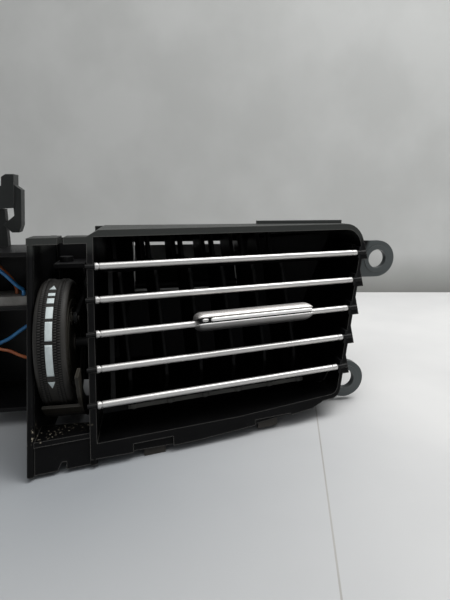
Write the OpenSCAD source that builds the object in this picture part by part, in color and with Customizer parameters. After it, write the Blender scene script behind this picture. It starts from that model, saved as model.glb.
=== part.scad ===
// Dashboard air vent: raked and swept front with five slatted bars, a row of upright
// vanes behind them, a side thumbwheel that works the shut-off flap, and two screw ears.
// Drawn from the middle bar's left end, then moved so that the upper ear hole is the origin.

/* [Front opening] */
// Sideways sweep of the front edges, away from the thumbwheel (degrees)
sweep = 12; // [8:0.5:14]
// Backward rake of the front edges (degrees)
rake = 20.6; // [18:0.2:23]
// Height of the air opening above the middle bar
open_top = 36.5; // [35.5:0.1:39]
// Depth of the air opening below the middle bar, at the left
open_bottom = 38.4; // [38:0.1:41]
// Rise of the lower edge from left to right
bottom_rise = 1.9; // [0:0.1:2.2]
// Width of the opening at the middle bar
open_w = 117.5; // [114:0.5:124]
// Lean of the stepped right wall (degrees from upright)
wall_lean = 18.85; // [15:0.05:20]
// Radius of the opening's upper right corner
corner_r = 7; // [4:0.5:10]

/* [Housing] */
// Thickness of the duct walls
wall = 1.8; // [1.4:0.1:2.2]
// Thickness of the band along the front of the roof
roof = 2.7; // [2.2:0.1:3.2]
// Depth of that band at its left end, back from the middle bar's left end
band_back = 42; // [38:0.5:46]
// Drop of the roof at the back of the front housing
roof_drop = 4.5; // [3:0.1:5.5]
// Thickness of the wall between the opening and the thumbwheel
mid_wall = 2.5; // [2:0.1:3]
// Depth of the front housing, back from the middle bar's left end
shell_back = 80; // [78:0.5:90]
// Clear width of the thumbwheel bay
bay_w = 19.1; // [17.5:0.1:22]
// Depth of the thumbwheel bay
bay_back = 56; // [52:0.5:62]
// Height of the bay's roof over the middle bar
bay_top = 36.7; // [34:0.1:39]
// Depth of the bay's lower edge below the middle bar
bay_bottom = 45.6; // [43:0.1:49]
// How far a tooth of the right wall sticks out at its lower end
tooth_out = 3.4; // [2:0.1:4.5]
// Depth of the wall's teeth behind the front
tooth_depth = 11; // [8:0.5:14]

/* [Screw ears] */
// Radius of the screw holes
ear_hole_r = 4.8; // [3.6:0.1:5.2]
// Outer radius of the ears
ear_r = 9.4; // [8.6:0.1:10.6]
// Thickness of the ears
ear_t = 3; // [2.4:0.1:5]
// Upper ear hole, to the right of the middle bar's left end
ear_up_x = 139; // [137:0.1:146]
// Upper ear hole, behind it
ear_up_y = 44.5; // [42:0.1:50]
// Upper ear hole, above it
ear_up_z = 21; // [18:0.1:24]
// Lower ear hole, to the right of the middle bar's left end
ear_low_x = 115.5; // [114:0.1:120]
// Lower ear hole, behind it
ear_low_y = 24.5; // [23:0.1:30]
// Lower ear hole, below it
ear_low_z = -35.8; // [-37.4:0.1:-34]

/* [Tilting vanes] */
// Distance between bars, square to them
bar_pitch = 13.46; // [13.2:0.01:13.6]
// Radius of the bright bars
bar_r = 1.35; // [1.2:0.05:1.6]
// Wall thickness of the bright bars
trim_t = 0.4; // [0.3:0.05:0.5]
// Radius of the vanes' end pins
pin_r = 0.9; // [0.7:0.05:0.9]
// Depth of a vane from its bar's axis to its back edge
vane_chord = 12.5; // [11.8:0.1:12.8]
// Thickness of a vane behind its bar
vane_t = 1.5; // [1.2:0.1:1.8]
// Distance from the bar's axis to the link pin
vane_crank = 11; // [10.4:0.1:11.2]
// Distance of the vane link from the left wall
link_in = 7.6; // [6.6:0.1:9]

/* [Upright vanes] */
// Distance between upright vanes
air_pitch = 16; // [15:0.1:16.1]
// First upright vane's distance along the middle bar
air_first = 14.2; // [13.6:0.1:15]
// Depth of the upright vanes' pivots behind the front
air_axis = 26; // [25.8:0.1:27]
// Distance from the pivots to the vanes' front edge
air_fore = 10.5; // [10:0.1:10.6]
// Distance from the pivots to the foot of the vanes' back edge
air_aft = 11.6; // [9:0.1:12]
// Distance from the pivots to the head of the vanes' back edge
air_aft_top = 7.9; // [5:0.1:8]
// Drop of the vanes' top edge below the roof rail, on both sides of the pivot
air_shoulder = 9; // [6:0.5:12]
// Thickness of an upright vane
air_t = 1.5; // [1.2:0.1:1.7]
// Radius of the upright vanes' pivot and crank pins
air_pin_r = 1; // [0.8:0.05:1.1]
// Thickness of the rails that hold the upright vanes
rail_t = 2.2; // [1.8:0.1:2.4]

/* [Tab] */
// Length of the tab along the middle bar
tab_l = 55; // [50:0.5:60]
// Middle of the tab along the middle bar
tab_mid = 68.5; // [66:0.5:71]
// Tab's reach in front of the bar's axis
tab_nose = 6; // [5:0.1:7]
// Height of the tab's upper wing over the bar's axis
tab_up = 4.8; // [4.2:0.1:5.4]
// Depth of the tab's lower wing below the bar's axis
tab_down = 3.6; // [3.4:0.1:4.2]

/* [Thumbwheel and flap] */
// Outer radius of the thumbwheel
wheel_r = 27; // [25:0.1:27.5]
// Width of the thumbwheel's tread
wheel_w = 11.6; // [10:0.1:12]
// Wheel axis behind the middle bar's left end
wheel_y = 16.5; // [15:0.1:19]
// Wheel axis below the middle bar
wheel_z = -7.8; // [-9:0.1:-6]
// Radius of the wheel's axle
axle_r = 2; // [1.6:0.1:2.6]
// Crank radius of the wheel and of the flap's lever
crank_r = 12; // [10:0.1:13]
// Direction of both cranks, from straight back upwards (degrees)
crank_dir = 108; // [102:1:114]
// Flap shaft behind the middle bar's left end
flap_y = 95; // [94:0.5:104]
// Flap shaft above the middle bar
flap_z = 1.4; // [0.8:0.1:2]
// Length of the flap from its shaft to its back edge
flap_l = 23.4; // [21:0.1:23.6]
// How far the flap stands open as shown, from flat (degrees)
flap_rest = 60; // [57:1:62]
// Thickness of the flap
flap_t = 1.8; // [1.6:0.1:2]
// Radius of the flap's shaft
shaft_r = 1.6; // [1.4:0.1:1.8]

/* [Rear duct] */
// Clear width of the rear outlet
outlet_w = 62; // [58:0.5:66]
// Left side of the rear outlet, from the middle wall
outlet_x = 13; // [10:0.1:15]
// Height of the rear outlet's roof over the middle bar
outlet_top = 27; // [26.6:0.1:28.5]
// Height of the rear outlet's floor against the middle bar
outlet_floor = -2; // [-2.6:0.1:-1.6]
// Back end of the rear duct
duct_end = 124; // [122:0.5:132]
// Width of the rear duct's end flange
flange_w = 5; // [4:0.1:6]

/* [Centre box] */
// Clear width of the box beside the thumbwheel
box_w = 30; // [26:0.5:36]
// Front of the box behind the middle bar's left end
box_front = 22; // [18:0.5:28]
// Top of the box over the middle bar
box_top = 30; // [29:0.5:32]
// Bottom of the box below the middle bar
box_bottom = 40; // [37:0.5:44]

/* [Fits] */
// Radial clearance of pins and shafts that turn
fit = 0.06; // [0.04:0.01:0.1]
// Gap between pieces that move past each other
gap = 0.4; // [0.3:0.05:0.5]

/* [Hidden] */
$fn = 40;

// The face's tilt once it is swept, and the directions of its three edges
face_tilt = atan(tan(rake) * cos(sweep));
bars = [2, 1, 0, -1, -2];
bay_left = -mid_wall - bay_w;
outer_left = bay_left - mid_wall;
far = 400;

// Depth of the front face at a place across and up it
function face_y(x, z) = x * tan(sweep) + z * tan(rake);
// Height of a point that lies n behind the face and w up it
function height(n, w) = w * cos(face_tilt) - n * sin(face_tilt);
// Place up the face of a point that lies n behind it at height z
function up_face(n, z) = (z + n * sin(face_tilt)) / cos(face_tilt);
// Inner faces of the left and right walls, along a bar's direction
function left_u(n, w) = tan(sweep) * (cos(face_tilt) * n + sin(face_tilt) * w);
function wall_x(z) = open_w + tan(wall_lean) * z;
function right_u(n, w) = wall_x(height(n, w)) / cos(sweep) + left_u(n, w);
function arc(cx, cz, r, a0, a1, steps) =
    [for (k = [0:steps]) let (a = a0 + (a1 - a0) * k / steps) [cx + r * cos(a), cz + r * sin(a)]];

// Moves the whole object so that the upper ear hole's middle is the origin
module place() translate([-ear_up_x, -ear_up_y, -ear_up_z]) children();
// X along the bars, Y into the vent, Z up the face
module on_face() rotate([-face_tilt, 0, sweep]) children();
// A slab of space that lies from n0 to n1 behind the face
module face_slab(n0, n1) on_face() translate([-far / 2, n0, -far / 2]) cube([far, n1 - n0, far]);
// Extrudes an outline drawn across and up, from y0 back to y1
module along_y(y0, y1) translate([0, y1, 0]) rotate([90, 0, 0]) linear_extrude(y1 - y0) children();
// Extrudes an outline drawn back and up, from x0 to x1
module along_x(x0, x1) translate([x0, 0, 0]) rotate([90, 0, 90]) linear_extrude(x1 - x0) children();
// A round bar from x0 to x1
module rod_x(r, x0, x1) translate([x0, 0, 0]) rotate([0, 90, 0]) cylinder(r = r, h = x1 - x0);

// Housing
floor_bend = 57;
lower_corner_r = 4;
clip_t = 1.2;
bar_end_gap = 2.4;
pin_in = 3;
skirt_t = 2.2;
bay_floor_z = wheel_z - wheel_r + 0.2;

function right_side(top, bottom, out, r_top, r_low) = concat(
    arc(wall_x(bottom + r_low) + out - r_low / cos(wall_lean), bottom + r_low, r_low, -90, -wall_lean, 4),
    arc(wall_x(top - r_top) + out - r_top / cos(wall_lean), top - r_top, r_top, -wall_lean, 90, 8));

module duct_opening() polygon(concat(
    [[0, open_top], [0, -open_bottom], [floor_bend, -open_bottom]],
    right_side(open_top, -open_bottom + bottom_rise, 0, corner_r, lower_corner_r)));

module duct_outside() polygon(concat(
    [[2, open_top + roof], [-mid_wall, bay_top], [-mid_wall, -open_bottom - wall],
     [floor_bend, -open_bottom - wall]],
    right_side(open_top + roof, -open_bottom + bottom_rise - wall, wall, corner_r + 2, lower_corner_r + 1)));

// Upright wall with a rounded front edge that follows the rake
module raked_wall(x, t, low, high, back) {
    intersection() {
        translate([x, -far / 2, low]) cube([t, far / 2 + back, high - low]);
        face_slab(t / 2, far);
    }
    intersection() {
        translate([x, -far / 2, low]) cube([t, far, high - low]);
        translate([x + t / 2, face_y(x + t / 2, 0) + t / 2 / cos(rake) / cos(sweep), 0])
            rotate([-rake, 0, 0]) cylinder(r = t / 2, h = far / 2, center = true);
    }
}

// One tooth of the stepped right wall, beside the bar at height z
module wall_tooth(z) {
    tip = z - 3.3;
    high = z + 4.6;
    along_y(-20, 70) polygon([[wall_x(high) + wall, high], [wall_x(tip) + wall + tooth_out, tip],
        [wall_x(tip) + wall / 2, tip], [wall_x(high) + wall / 2, high]]);
}

// Band under the opening, with two pockets over the clips
skirt_low = [[-mid_wall, -43.6], [13, -44], [28, -44.4], [40, -44.2], [63, -43.1], [83, -41.6],
    [92, -40.8], [98, -38.6], [101, -38.2]];
pockets = [[13.2, 28.8], [64.2, 81]];
pocket_top = -41;
pocket_depth = 1.2;

module skirt() intersection() {
    along_y(-30, 60) polygon(concat(skirt_low, [[101, -36.4], [floor_bend, -38.3], [-mid_wall, -38.3]]));
    difference() {
        face_slab(0, skirt_t);
        along_y(-40, 90) duct_opening();
        for (s = pockets) intersection() {
            translate([s[0], -40, -60]) cube([s[1] - s[0], 100, 60 + pocket_top]);
            face_slab(-1, pocket_depth);
        }
    }
}

ear_ring = 0.4;
module ear(x, y, z, neck) {
    translate([x, y, z]) rotate([90, 0, 0]) cylinder(r = ear_r, h = ear_t, center = true);
    translate([x, y - ear_t / 2, z]) rotate([90, 0, 0])
        cylinder(r = ear_hole_r + 2.2, h = 2 * ear_ring, center = true);
    along_y(y - ear_t / 2, y + ear_t / 2) polygon(neck);
}

module ear_hole(x, y, z) translate([x, y, z]) rotate([90, 0, 0])
    cylinder(r = ear_hole_r, h = 3 * ear_t, center = true);

module ear_web(x0, x1, y, z) translate([0, 0, z - wall / 2]) linear_extrude(wall)
    polygon([[x0, y], [x1, y], [x0, y + 12]]);

low_neck = [[ear_low_x - 19, -37.4], [ear_low_x - 5, ear_low_z - ear_r + 1.4],
    [ear_low_x, ear_low_z - ear_r], [ear_low_x, ear_low_z + ear_r], [wall_x(-24) + wall / 2, -24],
    [wall_x(-36) - 1, -36]];
up_neck = [[wall_x(ear_up_z - ear_r) + wall / 2, ear_up_z - ear_r], [ear_up_x, ear_up_z - ear_r],
    [ear_up_x, ear_up_z + ear_r], [wall_x(ear_up_z + ear_r) + wall / 2, ear_up_z + ear_r]];

// Side view of the room under the roof, which slopes down at the back
slope_from = shell_back - 14;
module under_roof(t) polygon([[-60, -far / 2], [-60, open_top + roof + t], [slope_from, open_top + roof + t],
    [slope_from, open_top + t], [shell_back + 1, open_top + t - roof_drop], [shell_back + 1, -far / 2]]);

// Room over the thinner roof, behind the band
module over_roof() translate([0, 0, open_top + wall]) linear_extrude(20)
    polygon([[-20, band_back - 2.5], [160, band_back + 19], [160, shell_back + 9], [-20, shell_back + 9]]);

module shell_room(t) intersection() {
    along_y(-42, shell_back + (t > 0 ? 0 : 1)) children();
    along_x(-20, 180) under_roof(t);
}

module duct_shell() difference() {
    intersection() {
        shell_room(wall) duct_outside();
        face_slab(0, far);
    }
    shell_room(0) duct_opening();
    over_roof();
}

// Walls of the thumbwheel bay, with a notched lip along the front of its roof
lip_t = 2.5;
lip_back = 21;
module wheel_bay() {
    raked_wall(outer_left, mid_wall, -bay_bottom, bay_top - lip_t, bay_back);
    intersection() {
        difference() {
            translate([outer_left, -40, bay_top - lip_t - 0.1]) cube([-outer_left - 1, 40 + lip_back, lip_t + 0.1]);
            translate([-13.1, -41, bay_top - lip_t - 1]) cube([2.1, 50 + lip_back, lip_t + 2]);
        }
        face_slab(0, far);
    }
    difference() {
        translate([outer_left, bay_back - wall, -box_bottom])
            cube([-outer_left - 1, wall, box_bottom + bay_top - lip_t - 1]);
        translate([link_x0 - 1, bay_back - wall - 1, -4]) cube([link_t + 2, wall + 2, 22]);
    }
    intersection() {
        translate([outer_left + 1, -40, bay_floor_z - wall]) cube([bay_w + mid_wall, 36, wall]);
        face_slab(0.6, far);
    }
    intersection() {
        along_y(-40, 20) difference() {
            translate([outer_left + 1, -bay_bottom]) square([bay_w + mid_wall, bay_bottom + bay_floor_z]);
            polygon([[-14.4, -bay_bottom - 1], [-10.9, -bay_bottom - 1], [-10.9, -bay_bottom + 2.6],
                [-12.6, -bay_bottom + 2.6]]);
        }
        face_slab(1.2, 1.2 + wall);
    }
    translate([bay_left - 0.5, wheel_y, wheel_z]) rod_x(axle_r + 1.6, 0, 0.9);
}

// Bores for the tilting vanes' end pins, in the middle wall and in the right wall
module bar_pin_bores() on_face() for (i = bars)
    translate([0, 0, i * bar_pitch]) rod_x(pin_r + fit, -12, 20);

module right_pin_bores() on_face() for (i = bars)
    translate([0, 0, i * bar_pitch]) rod_x(pin_r + fit, 60, right_u(0, i * bar_pitch) + pin_in + 0.4);

module vent_housing() place() color([0.09, 0.09, 0.1]) difference() {
    union() {
        duct_shell();
        raked_wall(-mid_wall, mid_wall, -bay_bottom, bay_top - 0.4, shell_back);
        wheel_bay();
        skirt();
        intersection() {
            for (i = bars) wall_tooth(height(0, i * bar_pitch));
            face_slab(0, tooth_depth);
        }
        ear(ear_up_x, ear_up_y, ear_up_z, up_neck);
        ear(ear_low_x, ear_low_y, ear_low_z, low_neck);
        ear_web(wall_x(ear_up_z) + wall / 2, ear_up_x - 6, ear_up_y, ear_up_z - 6.5);
        ear_web(wall_x(ear_up_z) + wall / 2, ear_up_x - 6, ear_up_y, ear_up_z + 6.5);
        roof_rail();
        guide_ribs();
        shell_flange();
        for (x = screw_x) screw_boss(x);
    }
    bar_pin_bores();
    right_pin_bores();
    ear_hole(ear_up_x, ear_up_y, ear_up_z);
    ear_hole(ear_low_x, ear_low_y, ear_low_z);
    translate([0, wheel_y, wheel_z]) rod_x(axle_r + fit, bay_left - 1.5, -0.6);
    for (x = screw_x) screw_hole(x);
}

// Fixed ribs under the roof, behind all upright vanes but the first
rib_t = 2.2;
rib_front = 38;
rib_back = 51;
rib_low = 19.5;
module guide_ribs() intersection() {
    on_face() for (k = [1:5]) translate([air_first + k * air_pitch - rib_t / 2, rib_front, 0])
        cube([rib_t, rib_back - rib_front, far]);
    shell_room(0.5) translate([-10, rib_low]) square([200, open_top + 0.5 - rib_low]);
}

// Raised rail along the back of the roof's band
module roof_rail() translate([76, 49, open_top + wall - 0.5]) cube([45, 2, roof - wall + 2]);

// Collar round the back of the front housing, which the rear duct is screwed to
screw_x = [14, 60, 104];
collar = 3.3;
back_top = open_top - roof_drop;
module collar_outline() polygon([[-mid_wall - collar, back_top + wall + collar],
    [-mid_wall - collar, -open_bottom - wall - collar],
    [wall_x(-open_bottom) + wall + collar, -open_bottom - wall - collar],
    [wall_x(back_top) + wall + collar, back_top + wall + collar]]);
module shell_flange() difference() {
    along_y(shell_back - 2, shell_back) collar_outline();
    along_y(shell_back - 3, shell_back + 1) intersection() {
        duct_opening();
        translate([-10, -60]) square([200, 60 + back_top]);
    }
}

screw_r = 1.2;
screw_z = [back_top + wall + 1.4, -open_bottom - wall - 1.4];
module screw_boss(x) for (z = screw_z)
    translate([x, shell_back - 8, z]) rotate([-90, 0, 0]) cylinder(r = 1.9, h = 7);
module screw_hole(x) for (z = screw_z)
    translate([x, shell_back - 7, z]) rotate([-90, 0, 0]) cylinder(r = screw_r, h = 12);

// Spring clips behind the band, which reach down past its edge
module lower_clips() place() color([0.24, 0.23, 0.21]) intersection() {
    union() for (c = [[17.2, 25.6, -47.2], [65.8, 75, -45.6]])
        along_y(-40, 60) translate([c[0], c[2]]) square([c[1] - c[0], -open_bottom - wall - c[2]]);
    face_slab(skirt_t + 0.1, skirt_t + 1.2);
}

// Small blocks on the right wall that the bars' end pins turn in
module pivot_clips() place() color([0.06, 0.06, 0.06]) difference() {
    for (i = bars) let (z = height(0, i * bar_pitch)) intersection() {
        along_y(-30, 70) polygon([[wall_x(z - 2.6), z - 2.6], [wall_x(z + 2.6), z + 2.6],
            [wall_x(z + 2.6) - clip_t, z + 2.6], [wall_x(z - 2.6) - clip_t, z - 2.6]]);
        along_y(-30, 70) duct_opening();
        face_slab(-0.6, 4.5);
    }
    right_pin_bores();
}

// Rear duct: ramps up from the housing's opening to the outlet that the flap shuts
duct_x0 = outlet_x;
duct_x1 = outlet_x + outlet_w;
ramp_end = flap_y - 3.4;

module side_room(t) polygon([[shell_back, -open_bottom - t], [shell_back + 1, -open_bottom - t],
    [ramp_end, outlet_floor - t], [duct_end, outlet_floor - t],
    [duct_end, outlet_top + t], [shell_back + 12, outlet_top + t], [shell_back + 1, back_top + t],
    [shell_back, back_top + t]]);

module plan_room(t) polygon([[-t, shell_back], [-t, shell_back + 1 + t], [duct_x0 - t, shell_back + 12 + t],
    [duct_x0 - t, duct_end], [duct_x1 + t, duct_end], [duct_x1 + t, shell_back + 12 + t],
    [wall_x(open_top) + t, shell_back + 1 + t], [wall_x(open_top) + t, shell_back]]);

module rear_room(t, end_cut) intersection() {
    along_x(-20, 160) side_room(t);
    translate([0, 0, -60]) linear_extrude(120) plan_room(t);
    along_y(shell_back - 1, duct_end + end_cut) polygon([[-t, 50], [-t, -open_bottom - t],
        [wall_x(-open_bottom) + t, -open_bottom - t], [wall_x(50) + t, 50]]);
}

module rear_duct() place() color([0.08, 0.08, 0.09]) difference() {
    union() {
        rear_room(wall, 0);
        along_y(shell_back, shell_back + 2) collar_outline();
        translate([duct_x0 - wall - flange_w, duct_end - 2, outlet_floor - wall - flange_w])
            cube([outlet_w + 2 * wall + 2 * flange_w, 2, outlet_top - outlet_floor + 2 * wall + 2 * flange_w]);
        translate([duct_x0 - wall - 1.2, flap_y, flap_z]) rod_x(shaft_r + 1.4, 0, 2);
        translate([duct_x1 + wall - 0.8, flap_y, flap_z]) rod_x(shaft_r + 1.4, 0, 2);
    }
    rear_room(0, 0);
    translate([duct_x0, duct_end - 3, outlet_floor]) cube([outlet_w, 4, outlet_top - outlet_floor]);
    translate([0, flap_y, flap_z]) rod_x(shaft_r + fit, duct_x0 - wall - 5, duct_x1 + wall + 5);
    for (x = screw_x) screw_hole(x);
}

// Foam frame stuck on the end flange
module duct_seal() place() color([0.16, 0.16, 0.17]) difference() {
    translate([duct_x0 - wall - flange_w + 0.5, duct_end, outlet_floor - wall - flange_w + 0.5])
        cube([outlet_w + 2 * wall + 2 * flange_w - 1, 4, outlet_top - outlet_floor + 2 * wall + 2 * flange_w - 1]);
    translate([duct_x0 - 0.5, duct_end - 1, outlet_floor - 0.5])
        cube([outlet_w + 1, 6, outlet_top - outlet_floor + 1]);
}

// Screws that hold the rear duct to the housing
module duct_screws() place() color([0.5, 0.5, 0.52]) for (x = screw_x)
    for (z = screw_z) translate([x, shell_back, z]) rotate([-90, 0, 0]) {
        translate([0, 0, -6.5]) cylinder(r = screw_r - 0.05, h = 8.5);
        translate([0, 0, 2]) cylinder(r = 1.8, h = 1.5);
    }

// Rails on the floor and under the roof of the opening, which hold the upright vanes
rail_half = 3.5;
module rail_band(z0, z1) intersection() {
    shell_room(0) intersection() {
        duct_opening();
        translate([-10, z0]) square([200, z1 - z0]);
    }
    face_slab(air_axis - rail_half, air_axis + rail_half);
}

module air_pivots(r, low, high) on_face() for (k = [0:5])
    translate([air_first + k * air_pitch, air_axis, low]) cylinder(r = r, h = high - low);

rail_low_z = -open_bottom + bottom_rise + rail_t;
rail_high_z = open_top - rail_t;

module vane_rail_top() place() color([0.1, 0.1, 0.1]) difference() {
    rail_band(rail_high_z, open_top);
    air_pivots(air_pin_r + fit, up_face(air_axis, rail_high_z) - 6, 80);
}

module vane_rail_bottom() place() color([0.1, 0.1, 0.1]) difference() {
    rail_band(-open_bottom - 1, rail_low_z);
    air_pivots(air_pin_r + fit, -80, up_face(air_axis, rail_low_z) + 6);
}

// Tilting vane number k from the top: a nose rod inside the bright bar, a tapering blade,
// a pin at each end and a link pin near the left
nose_r = bar_r - trim_t - 0.05;
web_t = 1;
blade_in = 1.6;
pin_end = 3.7;
function bar_w(k) = (3 - k) * bar_pitch;
function bar_u0(k) = left_u(0, bar_w(k)) + gap;
function bar_u1(k) = right_u(0, bar_w(k)) - bar_end_gap;

module blade_section() polygon(concat(
    [[0, web_t / 2], [0, -web_t / 2], [bar_r + 0.2, -web_t / 2], [bar_r + 1.4, -vane_t / 2]],
    arc(vane_chord - 0.45, 0, 0.45, -90, 90, 4), [[bar_r + 1.4, vane_t / 2], [bar_r + 0.2, web_t / 2]]));

module vane_blade(k) place() color([0.07, 0.07, 0.08]) on_face() translate([0, 0, bar_w(k)]) {
    u0 = bar_u0(k);
    u1 = bar_u1(k);
    link_u = left_u(0, bar_w(k)) + link_in;
    intersection() {
        along_x(u0 - 5, u1) blade_section();
        translate([0, 0, -3]) linear_extrude(6) polygon([[u0 + blade_in, -1],
            [u0 + blade_in + 1.6, vane_crank - 2.4], [link_u + 2.4, vane_crank - 2.4], [link_u + 2.4, 20],
            [u1 - 4, 20], [u1 - 1, 3], [u1 - 1, -1]]);
    }
    rod_x(nose_r, u0, u1);
    rod_x(pin_r, u0 - pin_end, u1 + bar_end_gap + pin_in);
    translate([0, vane_crank, 0]) rod_x(0.45 + pin_r / 4, link_u - 1.7, link_u + 3.4);
}

// Bright bar over the vane's nose, with a collar at its left end
module vane_trim(k) place() color([0.75, 0.74, 0.72]) on_face() translate([0, 0, bar_w(k)]) {
    u0 = bar_u0(k);
    u1 = bar_u1(k);
    difference() {
        union() {
            rod_x(bar_r + 0.15, u0, u0 + 1.3);
            rod_x(bar_r - 0.2, u0 + 1.2, u0 + 1.9);
            rod_x(bar_r, u0 + 1.8, u1 - 2.6);
            rod_x(bar_r - 0.15, u1 - 2.7, u1 - 2.2);
            rod_x(bar_r, u1 - 2.3, u1);
        }
        rod_x(nose_r + 0.05, u0 - 1, u1 + 1);
        translate([u0 + blade_in - 0.1, 0, -web_t / 2 - 0.1]) cube([u1, bar_r + 1, web_t + 0.2]);
    }
}

// Upright bar that makes the five tilting vanes move together
module vane_link() place() color([0.12, 0.12, 0.12]) on_face() difference() {
    lean = atan(tan(sweep) * sin(face_tilt));
    reach = 2 * bar_pitch / cos(lean);
    translate([link_in, vane_crank, 0]) rotate([0, lean, 0]) {
        translate([-0.9, -1.3, -reach]) cube([1.8, 2.6, 2 * reach]);
        for (i = bars) translate([-0.9, 0, i * bar_pitch / cos(lean)]) rod_x(1.9, 0, 1.8);
    }
    for (i = bars) translate([0, vane_crank, i * bar_pitch]) rod_x(0.45 + pin_r / 4 + fit, 0, 20);
}

// Upright vane number k from the left: blade with rounded front corners and a neck under the
// roof rail, a bead along its front edge, a crank arm at the foot and a pivot pin at each end
fork_k = 4;
bead_r = 1.2;
plain_bead_r = 1.1;
front_n = air_axis - air_fore;
foot_w = up_face(air_axis - air_fore, rail_low_z + 0.9);
foot_t = 1.6;
air_corner = 9;
head_corner = 5;
neck_half = 2;

function air_side(low, high) = concat(
    arc(front_n + air_corner, up_face(front_n + air_corner, low) + air_corner, air_corner, 180, 270, 6),
    [[air_axis + air_aft, up_face(air_axis + air_aft, low)],
     [air_axis + air_aft_top, up_face(air_axis + air_aft_top, high - air_shoulder)],
     [air_axis + neck_half, up_face(air_axis + neck_half, high - air_shoulder)],
     [air_axis + neck_half, up_face(air_axis + neck_half, high)],
     [air_axis - neck_half, up_face(air_axis - neck_half, high)],
     [air_axis - neck_half, up_face(air_axis - neck_half, high - air_shoulder)]],
    arc(front_n + head_corner, up_face(front_n + head_corner, high - air_shoulder) - head_corner, head_corner,
        90, 180, 6));

module air_vane(k) place() color([0.08, 0.08, 0.08]) on_face()
    translate([air_first + (k - 1) * air_pitch, 0, 0]) {
    low = rail_low_z + 0.9;
    high = rail_high_z - 0.9;
    along_x(-air_t / 2, air_t / 2) polygon(air_side(low, high));
    translate([0, front_n, up_face(front_n, low) + air_corner + 4])
        cylinder(r = k == fork_k ? bead_r : plain_bead_r,
            h = up_face(front_n, high - air_shoulder) - up_face(front_n, low) - air_corner - head_corner - 6);
    along_x(-air_t / 2, air_t / 2) polygon([[front_n - 0.9, foot_w], [front_n + 1.2, foot_w],
        [front_n + 5, up_face(front_n + 5, low)], [front_n + air_corner, up_face(front_n + air_corner, low)],
        [front_n + air_corner, foot_w + 8], [front_n - 0.9, foot_w + foot_t]]);
    translate([0, front_n, foot_w - 2.4]) cylinder(r = air_pin_r, h = 2.4 + foot_t);
    translate([0, air_axis, up_face(air_axis, rail_low_z) - 1.6])
        cylinder(r = air_pin_r, h = 12);
    translate([0, air_axis, up_face(air_axis, rail_high_z) - 11])
        cylinder(r = air_pin_r, h = 12.4);
}

// Flat bar that makes the upright vanes turn together
module air_vane_link() place() color([0.16, 0.16, 0.16]) on_face() difference() {
    top = foot_w - gap / 2;
    union() {
        translate([air_first - 2.2, front_n - 1.1, top - 1.7]) cube([5 * air_pitch + 4.4, 2.2, 1.7]);
        for (k = [0:5]) translate([air_first + k * air_pitch, front_n, top - 1.7])
            cylinder(r = 2.1, h = 1.7);
        for (k = [0:4]) translate([air_first + (k + 0.5) * air_pitch, front_n, top - 0.2])
            cylinder(r = 1, h = 1);
    }
    for (k = [0:5]) translate([air_first + k * air_pitch, front_n, top - 5])
        cylinder(r = air_pin_r + fit, h = 8);
}

// Tab that slides on the middle bar: two wings, a bright strip between them and a fork
// behind that swings the upright vanes
fork_u = air_first + (fork_k - 1) * air_pitch;
tab_u0 = tab_mid - tab_l / 2;
strip_t = 0.8;
bar_room = bar_r + 0.08;
fork_gap = bead_r + 0.6;
fork_tip = front_n + 2.8;

module upper_wing() polygon(concat([[-tab_nose + 0.4, strip_t / 2], [2.6, strip_t / 2 + 0.6],
    [2.6, tab_up - 1.4]], arc(1.4, tab_up - 1.2, 1.2, 0, 100, 4), [[-tab_nose + 0.9, 1.7], [-tab_nose + 0.3, 1]]));

module lower_wing() polygon(concat([[-tab_nose + 0.4, -strip_t / 2], [-tab_nose + 0.3, -1], [-tab_nose + 1, -1.6]],
    arc(1.2, -tab_down + 1.1, 1.1, -100, 0, 4), [[2.3, -tab_down + 1.3], [2.3, -strip_t / 2 - 0.6]]));

// Outline of the tab from the front, with rounded ends
module tab_plan(r) translate([tab_u0, 0, 0]) rotate([90, 0, 0]) linear_extrude(30, center = true)
    polygon(concat(arc(r, tab_up - r, r, 180, 90, 5), arc(tab_l - r, tab_up - r, r, 90, 0, 5),
        arc(tab_l - r, -tab_down + r, r, 0, -90, 5), arc(r, -tab_down + r, r, -90, -180, 5)));

module bar_channel() {
    rod_x(bar_room, 0, 140);
    translate([0, 0, -vane_t / 2 - 0.12]) cube([140, 10, vane_t + 0.24]);
}

module tab_upper() place() color([0.72, 0.7, 0.68]) on_face() intersection() {
    difference() {
        along_x(tab_u0, tab_u0 + tab_l) upper_wing();
        bar_channel();
    }
    tab_plan(2.4);
}

module tab_lower() place() color([0.55, 0.53, 0.51]) on_face() intersection() {
    difference() {
        along_x(tab_u0, tab_u0 + tab_l) lower_wing();
        bar_channel();
    }
    tab_plan(2.4);
}

module tab_strip() place() color([0.8, 0.8, 0.8]) on_face() difference() {
    translate([tab_u0 + 0.8, -tab_nose - 0.2, -strip_t / 2 + 0.05]) cube([tab_l - 1.6, tab_nose - 0.4, strip_t - 0.1]);
    bar_channel();
}

// The fork hangs from the lower wing, passes under the vane and straddles one upright vane
module tab_fork() place() color([0.1, 0.1, 0.1]) on_face() translate([fork_u, 0, 0]) {
    prong = 1.4;
    low = -tab_down + 1.3;
    for (s = [-1, 1]) translate([s * (fork_gap + prong / 2), 0, 0]) {
        translate([-prong / 2, 2.3, low]) cube([prong, fork_tip - 2.3, 1]);
        translate([-prong / 2, vane_chord + 0.8, low]) cube([prong, fork_tip - vane_chord - 0.8, 3.4]);
    }
    translate([-fork_gap - prong, 2.3, low]) cube([2 * fork_gap + 2 * prong, 9, 1]);
}

// Thumbwheel: a cup open to the left, whose web carries the crank pin
web = 2.6;
wheel_grooves = [19.4, 15.8];
wheel_x1 = bay_left + gap + wheel_w;
wheel_x0 = bay_left + gap;
wheel_mid = (wheel_x0 + wheel_x1) / 2;
tyre_t = 2.4;
mark_w = 3;
module on_wheel() translate([0, wheel_y, wheel_z]) children();

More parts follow.
